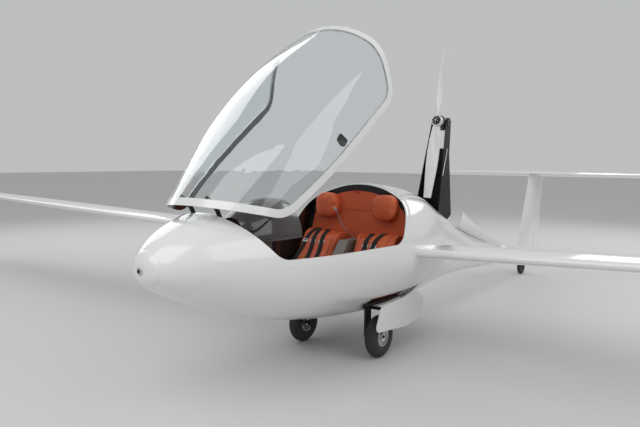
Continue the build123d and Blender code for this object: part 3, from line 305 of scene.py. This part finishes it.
def place_piece(name, data, finish, body):
    piece = bpy.data.objects.new(name, data)
    bpy.context.collection.objects.link(piece)
    data.materials.clear()
    data.materials.append(finish)
    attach(piece, body)
    return piece


def shaped_mesh(piece):
    view = bpy.context.evaluated_depsgraph_get()
    view.update()
    return bpy.data.meshes.new_from_object(piece.evaluated_get(view), depsgraph=view)


cloth_frames = 20


def upholster(name, node, voxel, inset, rounding, relaxing, cap, is_held, seams):
    pad = bpy.data.objects.new(name, shown[node].data.copy())
    bpy.context.collection.objects.link(pad)
    skin = pad.modifiers.new("even_skin", "REMESH")
    skin.mode = "VOXEL"
    skin.voxel_size = voxel
    shrink = pad.modifiers.new("smaller_foam", "DISPLACE")
    shrink.strength = -inset
    shrink.mid_level = 0.0
    soften = pad.modifiers.new("round_edges", "SMOOTH")
    soften.factor = 0.5
    soften.iterations = rounding
    foam = shaped_mesh(pad)
    pad.modifiers.clear()
    pad.data = foam
    rest = [vertex.co.copy() for vertex in foam.vertices]
    held = pad.vertex_groups.new(name="held")
    held.add([i for i, spot in enumerate(rest) if is_held(spot)], 1.0, "REPLACE")
    cover = pad.modifiers.new("leather_cover", "CLOTH")
    cover.settings.quality = 4
    cover.settings.use_pressure = True
    cover.settings.uniform_pressure_force = 4.0
    cover.settings.effector_weights.gravity = 0.0
    cover.settings.vertex_group_mass = "held"
    cover.point_cache.frame_start = 1
    cover.point_cache.frame_end = cloth_frames
    for step in range(1, cloth_frames + 1):
        bpy.context.scene.frame_set(step)
    puffed = shaped_mesh(pad)
    pad.modifiers.clear()
    pad.vertex_groups.clear()
    bpy.context.scene.frame_set(1)
    for vertex, spot in zip(puffed.vertices, rest):
        swell = vertex.co - spot
        if swell.length > cap:
            vertex.co = spot + swell * (cap / swell.length)
    pad.data = puffed
    relax = pad.modifiers.new("relaxed_cover", "SMOOTH")
    relax.factor = 0.5
    relax.iterations = relaxing
    finer = pad.modifiers.new("finer_cover", "SUBSURF")
    finer.levels = finer.render_levels = 1
    cover_mesh = shaped_mesh(pad)
    pad.modifiers.clear()
    pad.data = cover_mesh
    pulls = [(v.co.copy(), v.normal.copy()) for v in cover_mesh.vertices]
    for vertex, (spot, normal) in zip(cover_mesh.vertices, pulls):
        drawn = 0.0
        for gap, depth, width in seams(spot):
            drawn = max(drawn, depth * math.exp(-(gap / width) ** 2))
        vertex.co = spot - normal * drawn
    for face in cover_mesh.polygons:
        face.use_smooth = True
    cover_mesh.materials.clear()
    cover_mesh.materials.append(orange_leather)
    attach(pad, "airframe")
    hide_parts(node)
    return pad


seat_middle = 0.265
piping_offset = 0.132
roll_seam_x = 1.530
roll_seam_z = 0.950
roll_seam_below = 0.060
roll_seam_lowest = 0.80


def seat_is_held(spot):
    return spot.x < 1.392 or spot.z < 0.62 or abs(spot.y) > 0.448


def headrest_is_held(spot):
    return spot.x < 1.386


def no_seams(spot):
    return ()


seat_covers = {}
for side_name, side in sides:
    middle = side * seat_middle

    def seat_seams(spot, middle=middle):
        across = abs(spot.y - middle)
        piping = abs(across - piping_offset)
        top_roll = abs((spot.x - roll_seam_x) * 0.57 + (spot.z - roll_seam_z) * 0.82 + roll_seam_below)
        return (
            (piping, 0.008, 0.007),
            (top_roll if spot.z > roll_seam_lowest else 1.0, 0.003, 0.006),
        )

    seat_covers[side_name] = upholster(
        "seat_cover_" + side_name, "seat_" + side_name, voxel=0.009, inset=0.004, rounding=9,
        relaxing=4, cap=0.024, is_held=seat_is_held, seams=seat_seams)

    upholster(
        "headrest_cover_" + side_name, "headrest_" + side_name, voxel=0.006, inset=0.003, rounding=5,
        relaxing=9, cap=0.009, is_held=headrest_is_held, seams=no_seams)


# Sewn joint on the back panel: a row of leather cord between two halves of the cover,
# and a small red pull tab at its upper edge.
def drawn_rod(name, route, radius, finish, body):
    line = bpy.data.curves.new(name, "CURVE")
    line.dimensions = "3D"
    line.bevel_depth = radius
    line.bevel_resolution = 3
    line.use_fill_caps = True
    run = line.splines.new("NURBS")
    run.points.add(len(route) - 1)
    for point, spot in zip(run.points, route):
        point.co = (*spot, 1.0)
    run.order_u = 3
    run.use_endpoint_u = True
    run.resolution_u = 6
    return place_piece(name, line, finish, body)


panel_face_x = 1.3785
panel_seam_height = 1.1435
panel_seam_rise = 0.00002
seam_thread = grained_finish(
    "seam_thread", clean=(0.36, 0.060, 0.020), soiled=(0.28, 0.045, 0.015), patch=20.0,
    gloss=0.6, pebbles=900.0, relief=0.0003)
drawn_rod(
    "back_panel_seam",
    [(panel_face_x, y / 100.0, panel_seam_height + panel_seam_rise * y * y) for y in range(-17, 18, 2)],
    radius=0.0018, finish=seam_thread, body="airframe")

corner_steps = 5


def rounded_outline(width, height, radius):
    corners = []
    for turn, (a, b) in enumerate(((1, 1), (-1, 1), (-1, -1), (1, -1))):
        centre = (a * (width / 2 - radius), b * (height / 2 - radius))
        for step in range(corner_steps + 1):
            angle = math.radians(90.0 * turn + 90.0 * step / corner_steps)
            corners.append((centre[0] + radius * math.cos(angle), centre[1] + radius * math.sin(angle)))
    return corners


def cut_plate(name, outline, thickness, centre, along, up, edge, finish, body):
    along, up = Vector(along).normalized(), Vector(up).normalized()
    through = along.cross(up)
    form = bmesh.new()
    ring = [form.verts.new(Vector(centre) + along * a + up * b) for a, b in outline]
    face = form.faces.new(ring)
    grown = bmesh.ops.extrude_face_region(form, geom=[face])
    lifted = [item for item in grown["geom"] if isinstance(item, bmesh.types.BMVert)]
    bmesh.ops.translate(form, vec=through * thickness, verts=lifted)
    bmesh.ops.recalc_face_normals(form, faces=form.faces)
    rims = [e for e in form.edges if any(len(f.verts) > 4 for f in e.link_faces)]
    bmesh.ops.bevel(form, geom=rims, offset=edge, segments=2, profile=0.6, affect="EDGES")
    data = bpy.data.meshes.new(name)
    form.to_mesh(data)
    form.free()
    for polygon in data.polygons:
        polygon.use_smooth = len(polygon.vertices) <= 4
    return place_piece(name, data, finish, body)


red_tab = grained_finish(
    "red_tab", clean=(0.55, 0.03, 0.03), soiled=(0.42, 0.02, 0.02), patch=20.0, gloss=0.6,
    pebbles=700.0, relief=0.0003)
cut_plate(
    "pull_tab", rounded_outline(0.060, 0.022, 0.006), thickness=0.003,
    centre=(panel_face_x, -0.017, 1.300), along=(0, 1, -0.25), up=(0, 0.25, 1), edge=0.0008,
    finish=red_tab, body="airframe")


# Harnesses: black polyester webbing, three straps on the starboard seat and two on the
# port one. Each lies on the cover from the seat's top edge down to a steel buckle, and
# passes a pressed steel adjuster on its way.
webbing, shader = worn_finish(
    "webbing", clean=(0.014, 0.014, 0.015), soiled=(0.030, 0.029, 0.028), patch=16.0,
    ripple_size=300.0, gloss=0.62, gloss_spread=0.2, relief=0.0002)
shader.inputs["Specular IOR Level"].default_value = 0.22
ribs = pressed_pattern(webbing, shader, "ShaderNodeTexWave", "Fac", 70.0, 0.0006)
ribs.bands_direction = "DIAGONAL"

steel, shader = worn_finish(
    "pressed_steel", clean=(0.58, 0.59, 0.60), soiled=(0.42, 0.43, 0.44), patch=30.0,
    ripple_size=120.0, gloss=0.25, gloss_spread=0.2, relief=0.0001)
shader.inputs["Metallic"].default_value = 1.0
seat_profile = ((1.385, 0.962), (1.430, 0.985), (1.470, 0.990), (1.505, 0.978), (1.545, 0.946),
                (1.595, 0.872), (1.645, 0.800), (1.700, 0.745), (1.752, 0.697))
strap_start = 0.16
strap_steps = 36
adjuster_step = 20
ray_height = 0.12
ray_shifts = (-0.018, 0.0, 0.018)
webbing_rise = 0.0032
webbing_width = 0.044
webbing_thickness = 0.0022
webbing_belly = 0.0012
webbing_section = (
    (-1, 0), (-0.9, webbing_thickness), (0, webbing_thickness), (0.9, webbing_thickness),
    (1, 0), (0.9, -webbing_belly), (-0.9, -webbing_belly),
)


def skin_of(cover):
    return BVHTree.FromPolygons(
        [v.co.copy() for v in cover.data.vertices], [tuple(p.vertices) for p in cover.data.polygons])


def profile_at(share):
    place_on = share * (len(seat_profile) - 1)
    low = min(int(place_on), len(seat_profile) - 2)
    a, b = seat_profile[low], seat_profile[low + 1]
    rest = place_on - low
    return a[0] + (b[0] - a[0]) * rest, a[1] + (b[1] - a[1]) * rest


def strap_over_seat(name, skin, y_top, y_low):
    centres = []
    for step in range(strap_steps + 1):
        share = strap_start + (1.0 - strap_start) * step / strap_steps
        x, z = profile_at(share)
        x_next, z_next = profile_at(min(share + 0.02, 1.0))
        x_prev, z_prev = profile_at(max(share - 0.02, 0.0))
        run = Vector((x_next - x_prev, 0.0, z_next - z_prev)).normalized()
        lift = Vector((-run.z, 0.0, run.x))
        if lift.z < 0.0:
            lift = -lift
        y = y_top + (y_low - y_top) * step / strap_steps
        spot = Vector((x, y, z))
        ground = spot
        nearest = 1.0
        for shift in ray_shifts:
            hit = skin.ray_cast(spot + Vector((0.0, shift, 0.0)) + lift * ray_height, -lift)
            if hit[0] is not None and hit[3] < nearest:
                nearest = hit[3]
                ground = spot + lift * (ray_height - nearest)
        centres.append((ground + lift * webbing_rise, lift))
    centres = [centres[0]] + [
        ((before[0] + here[0] * 2 + after[0]) / 4, here[1])
        for before, here, after in zip(centres, centres[1:], centres[2:])] + [centres[-1]]
    form = bmesh.new()
    loops = []
    for i, (spot, lift) in enumerate(centres):
        ahead = centres[min(i + 1, len(centres) - 1)][0] - centres[max(i - 1, 0)][0]
        across = ahead.cross(lift).normalized()
        loops.append([
            form.verts.new(spot + across * (a * webbing_width / 2) + lift * b)
            for a, b in webbing_section])
    for before, after in zip(loops, loops[1:]):
        for k in range(len(before)):
            form.faces.new((before[k], before[k - 1], after[k - 1], after[k]))
    form.faces.new(loops[0])
    form.faces.new(list(reversed(loops[-1])))
    bmesh.ops.recalc_face_normals(form, faces=form.faces)
    data = bpy.data.meshes.new(name)
    form.to_mesh(data)
    form.free()
    for polygon in data.polygons:
        polygon.use_smooth = True
    strap = place_piece(name, data, webbing, "airframe")
    return strap, centres


seat_skins = {side_name: skin_of(cover) for side_name, cover in seat_covers.items()}
for side_name, buckle_y, straps in (
    ("starboard", -0.300, ((-0.372, -0.415), (-0.345, -0.285), (-0.262, -0.190))),
    ("port", 0.250, ((0.318, 0.268), (0.190, 0.235))),
):
    for count, (y_top, y_low) in enumerate(straps):
        strap, centres = strap_over_seat(
            "strap_%s_%d" % (side_name, count + 1), seat_skins[side_name], y_top, y_low)
        if count == 0:
            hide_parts("harness_" + side_name)
        spot, lift = centres[adjuster_step]
        run = (centres[adjuster_step + 2][0] - centres[adjuster_step - 2][0]).normalized()
        across = run.cross(lift).normalized()
        cut_plate(
            "strap_adjuster_%s_%d" % (side_name, count + 1), rounded_outline(0.056, 0.030, 0.005),
            thickness=0.0035, centre=spot + lift * 0.002, along=across, up=-run, edge=0.0008,
            finish=steel, body="airframe")
    cut_plate(
        "buckle_" + side_name, rounded_outline(0.068, 0.062, 0.022), thickness=0.016,
        centre=(1.752, buckle_y, 0.700), along=(0, 1, 0), up=(-0.68, 0, 0.73), edge=0.003,
        finish=steel, body="airframe")

# Seat piping: a leather cord sewn into each of the two long seams of a seat's cover. Rays
# from above the seat find the seam's floor, and the cord lies in it.
piping_start = 0.12
piping_steps = 24
piping_lift = Vector((0.75, 0.0, 0.66)).normalized()
for side_name, side in sides:
    for edge_name, shift in (("left", piping_offset), ("right", -piping_offset)):
        route = []
        for step in range(piping_steps + 1):
            x, z = profile_at(piping_start + (1.0 - piping_start) * step / piping_steps)
            above = Vector((x, side * seat_middle + shift, z)) + piping_lift * ray_height
            hit = seat_skins[side_name].ray_cast(above, -piping_lift)
            if hit[0] is not None:
                route.append(hit[0] + piping_lift * 0.0005)
        drawn_rod(
            "seat_piping_%s_%s" % (side_name, edge_name), route, radius=0.0022,
            finish=seam_thread, body="airframe")

# Mast, its shaft, motor and propeller: a black-painted frame, bare metal on the shafts,
# rims and small fittings, a dark motor case and white blades.
mast_black, shader = worn_finish(
    "mast_black", clean=(0.010, 0.010, 0.011), soiled=(0.022, 0.022, 0.022), patch=9.0,
    ripple_size=160.0, gloss=0.30, gloss_spread=0.25, relief=0.0003)
shader.inputs["Specular IOR Level"].default_value = 0.22
dress(mast_black, "mast_frame", "canopy_arms", "hub_plate")
bare_metal, shader = worn_finish(
    "bare_metal", clean=(0.72, 0.73, 0.74), soiled=(0.55, 0.56, 0.58), patch=18.0,
    ripple_size=90.0, gloss=0.16, gloss_spread=0.22, relief=0.0002)
shader.inputs["Metallic"].default_value = 1.0
dress(
    bare_metal, "mast_shaft", "canopy_shaft", "main_rim_port", "main_rim_starboard",
    "nose_inlet", "gooseneck_microphone", "rudder_pedals",
)
motor_dark, shader = worn_finish(
    "motor_dark", clean=(0.045, 0.046, 0.050), soiled=(0.030, 0.030, 0.032), patch=12.0,
    ripple_size=80.0, gloss=0.32, gloss_spread=0.2, relief=0.0002)
shader.inputs["Metallic"].default_value = 0.6
dress(motor_dark, "motor")
blade_white, _ = worn_finish(
    "blade_white", clean=(0.72, 0.72, 0.72), soiled=(0.62, 0.62, 0.62), patch=3.0,
    ripple_size=8.0, gloss=0.14, gloss_spread=0.12, relief=0.0006)
dress(blade_white, "propeller")

# Mast plates: the box between the two cheeks that carries the wiring, round bosses with
# their bolts over the cheeks' upper ends, and a pale gas strut on the port cheek.
mast_foot_height = 0.905
mast_top_height = 2.014
mast_foot_half = 0.146
mast_top_half = 0.080


def mast_half(height):
    share = (height - mast_foot_height) / (mast_top_height - mast_foot_height)
    return mast_foot_half + share * (mast_top_half - mast_foot_half)


def ring_outline(radius, step_degrees):
    return [
        (radius * math.cos(math.radians(a)), radius * math.sin(math.radians(a)))
        for a in range(0, 360, step_degrees)]


box_corner_height = 1.650
box_corner_radius = 0.048
box_outline = [(-0.128, 1.02), (0.128, 1.02)]
for corner_y, first_degrees in ((0.040, 0.0), (-0.040, 90.0)):
    for step in range(7):
        angle = math.radians(first_degrees + 90.0 * step / 6)
        box_outline.append((
            corner_y + box_corner_radius * math.cos(angle),
            box_corner_height + box_corner_radius * math.sin(angle)))
cut_plate(
    "mast_wiring_box", box_outline, thickness=0.006, centre=(-0.150, 0, 0), along=(0, 1, 0),
    up=(0, 0, 1), edge=0.0015, finish=mast_black, body="mast")

boss_x = -0.200
boss_height = 1.962
boss_bolt_ring = 0.029
for side_name, side in sides:
    boss_y = side * (mast_half(boss_height) - 0.001)
    cut_plate(
        "cheek_boss_" + side_name, ring_outline(0.042, 12), thickness=0.007 * side,
        centre=(boss_x, boss_y, boss_height), along=(0, 0, 1), up=(1, 0, 0), edge=0.0018,
        finish=mast_black, body="mast")
    for count in range(6):
        angle = math.radians(60.0 * count)
        bolt_place = (
            boss_x + boss_bolt_ring * math.cos(angle), boss_y + 0.006 * side,
            boss_height + boss_bolt_ring * math.sin(angle))
        cut_plate(
            "cheek_bolt_%s_%d" % (side_name, count + 1), ring_outline(0.0065, 60),
            thickness=0.006 * side, centre=bolt_place, along=(0, 0, 1), up=(1, 0, 0), edge=0.0008,
            finish=steel, body="mast")
drawn_rod(
    "gas_strut", [(x, mast_half(z) + 0.006, z) for x, z in (
        (-0.135, 1.690), (-0.072, 1.560), (-0.006, 1.420))],
    radius=0.0050, finish=steel, body="mast")

# Hub bolts: six cap bolts and a larger centre cap hold the propeller under its dark
# plate. They stand square on the plate, which leans with the propeller's own line.
hub_front = Vector((-0.0681, 0.0, 1.9900))
spin_line = Vector((math.cos(math.radians(14.0)), 0.0, math.sin(math.radians(14.0))))
hub_up = Vector((-spin_line.z, 0.0, spin_line.x))
centre_cap = 6
for count in range(7):
    reach = 0.0 if count == centre_cap else 0.029
    size = 0.011 if count == centre_cap else 0.0055
    angle = math.radians(60.0 * count)
    spot = hub_front + hub_up * reach * math.cos(angle) + Vector((0, 1, 0)) * reach * math.sin(angle)
    cut_plate(
        "hub_bolt_%d" % (count + 1), ring_outline(size, 20), thickness=0.005,
        centre=spot - spin_line * 0.0005, along=(0, 1, 0), up=hub_up, edge=0.001,
        finish=bare_metal, body="propeller_unit")

# Gooseneck: a grey coated metal stalk with a small microphone head, screwed to the top
# of the console.
stalk_grey, _ = worn_finish(
    "stalk_grey", clean=(0.34, 0.34, 0.35), soiled=(0.24, 0.24, 0.25), patch=25.0,
    ripple_size=500.0, gloss=0.35, gloss_spread=0.2, relief=0.0004)
stalk = drawn_rod(
    "microphone_stalk", [
        (1.440, 0.0, 0.903), (1.452, 0.0, 0.916), (1.500, 0.0, 0.944), (1.556, 0.0, 0.977),
        (1.612, 0.0, 1.026), (1.657, 0.0, 1.080), (1.694, 0.0, 1.132), (1.716, 0.0, 1.166)],
    radius=0.0042, finish=stalk_grey, body="airframe")
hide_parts("gooseneck_microphone")
drawn_rod(
    "microphone_head", [(1.712, 0.0, 1.160), (1.722, 0.0, 1.172), (1.731, 0.0, 1.184)],
    radius=0.0105, finish=stalk_grey, body="airframe")

# Canopy latch: a moulded box with its lever, fixed inside the port edge of the frame and
# worked from the left seat.
latch_black, _ = worn_finish(
    "latch_black", clean=(0.018, 0.018, 0.019), soiled=(0.035, 0.034, 0.033), patch=20.0,
    ripple_size=400.0, gloss=0.45, gloss_spread=0.2, relief=0.0002)
cut_plate(
    "canopy_latch", rounded_outline(0.085, 0.060, 0.014), thickness=0.014,
    centre=(2.440, 0.538, 1.705), along=(-0.82, 0.10, -0.55), up=(-0.55, 0.12, 0.82), edge=0.003,
    finish=latch_black, body="canopy")
drawn_rod(
    "canopy_latch_lever", [(2.452, 0.524, 1.715), (2.440, 0.512, 1.702), (2.418, 0.508, 1.682),
                           (2.400, 0.512, 1.668)],
    radius=0.0055, finish=latch_black, body="canopy")

# Instrument faces: ten pale ticks round each dark dial, set in the five round recesses
# of the panel.
dial_white, _ = worn_finish(
    "dial_white", clean=(0.62, 0.62, 0.60), soiled=(0.50, 0.50, 0.48), patch=40.0,
    ripple_size=60.0, gloss=0.5, gloss_spread=0.1, relief=0.0001)
dial_face_x = 2.4800
dial_places = ((-0.135, 1.125), (-0.095, 1.200), (0.0, 1.235), (0.095, 1.200), (0.135, 1.125))
tick_ring = 0.022
tick_outline = ((-0.003, -0.0006), (0.003, -0.0006), (0.003, 0.0006), (-0.003, 0.0006))
for count, (dial_y, dial_z) in enumerate(dial_places):
    for tick in range(10):
        angle = math.radians(36.0 * tick)
        spot = (dial_face_x, dial_y + tick_ring * math.cos(angle), dial_z + tick_ring * math.sin(angle))
        cut_plate(
            "dial_%d_tick_%d" % (count + 1, tick + 1), tick_outline, thickness=0.0008,
            centre=spot, along=(0, math.cos(angle), math.sin(angle)),
            up=(0, -math.sin(angle), math.cos(angle)), edge=0.0001, finish=dial_white,
            body="airframe")

# Cockpit trim and dark fittings: a grey console, pedestal and floor, the brown gloss hood,
# and black mouldings, which the gear legs and the tail fork match.
grey_trim, _ = worn_finish(
    "grey_trim", clean=(0.24, 0.22, 0.20), soiled=(0.17, 0.155, 0.14), patch=10.0,
    ripple_size=300.0, gloss=0.38, gloss_spread=0.2, relief=0.0003)
dress(grey_trim, "centre_console", "instrument_pedestal", "cockpit_floor", "equipment_shelf")
hood_gloss, shader = worn_finish(
    "hood_gloss", clean=(0.020, 0.012, 0.009), soiled=(0.030, 0.018, 0.014), patch=8.0,
    ripple_size=40.0, gloss=0.12, gloss_spread=0.1, relief=0.0003)
shader.inputs["Coat Weight"].default_value = 0.8
shader.inputs["Coat Roughness"].default_value = 0.06
dress(hood_gloss, "instrument_shroud")
black_moulding, shader = worn_finish(
    "black_moulding", clean=(0.016, 0.016, 0.017), soiled=(0.03, 0.03, 0.03), patch=12.0,
    ripple_size=500.0, gloss=0.5, gloss_spread=0.2, relief=0.0002)
shader.inputs["Specular IOR Level"].default_value = 0.22
dress(
    black_moulding, "instrument_panel", "control_stick_port", "control_stick_starboard",
    "battery_pack", "rear_bulkhead", "tail_fork", "gear_leg_port", "gear_leg_starboard",
)

# Wheel well lids: thin black panels that close the wells from the cockpit, under the
# seats, so that nothing of the cockpit shows through the gear opening.
for side_name, side in sides:
    cut_plate(
        "wheel_well_lid_" + side_name, rounded_outline(0.520, 0.170, 0.030), thickness=0.0035,
        centre=(1.655, side * 0.350, 0.4655), along=(1, 0, 0), up=(0, 1, 0), edge=0.0008,
        finish=black_moulding, body="airframe")

# Tyres: black rubber with straight grooves round the tread, and dust in the patches
# that have rolled on the ground.
tyre_rubber, shader = worn_finish(
    "tyre_rubber", clean=(0.018, 0.018, 0.018), soiled=(0.045, 0.043, 0.04), patch=14.0,
    ripple_size=220.0, gloss=0.62, gloss_spread=0.2, relief=0.0006)
grooves = pressed_pattern(tyre_rubber, shader, "ShaderNodeTexWave", "Fac", 20.0, 0.004)
grooves.bands_direction = "Y"
dress(tyre_rubber, "main_tyre_port", "main_tyre_starboard", "tail_wheel")

# Wheel nuts: six on each main wheel's outer face, in a ring round the axle. They turn
# with the wheel.
axle_x = 1.646
axle_height = 0.170
nut_ring = 0.040
for body_name, side in (("wheel_left", 1.0), ("wheel_right", -1.0)):
    for count in range(6):
        angle = math.radians(60.0 * count + 30.0)
        nut_place = (
            axle_x + nut_ring * math.cos(angle), side * 0.3925, axle_height + nut_ring * math.sin(angle))
        cut_plate(
            "%s_nut_%d" % (body_name, count + 1), ring_outline(0.007, 60), thickness=0.008 * side,
            centre=nut_place, along=(0, 0, 1), up=(1, 0, 0), edge=0.001, finish=steel,
            body=body_name)

bpy.context.view_layer.update()
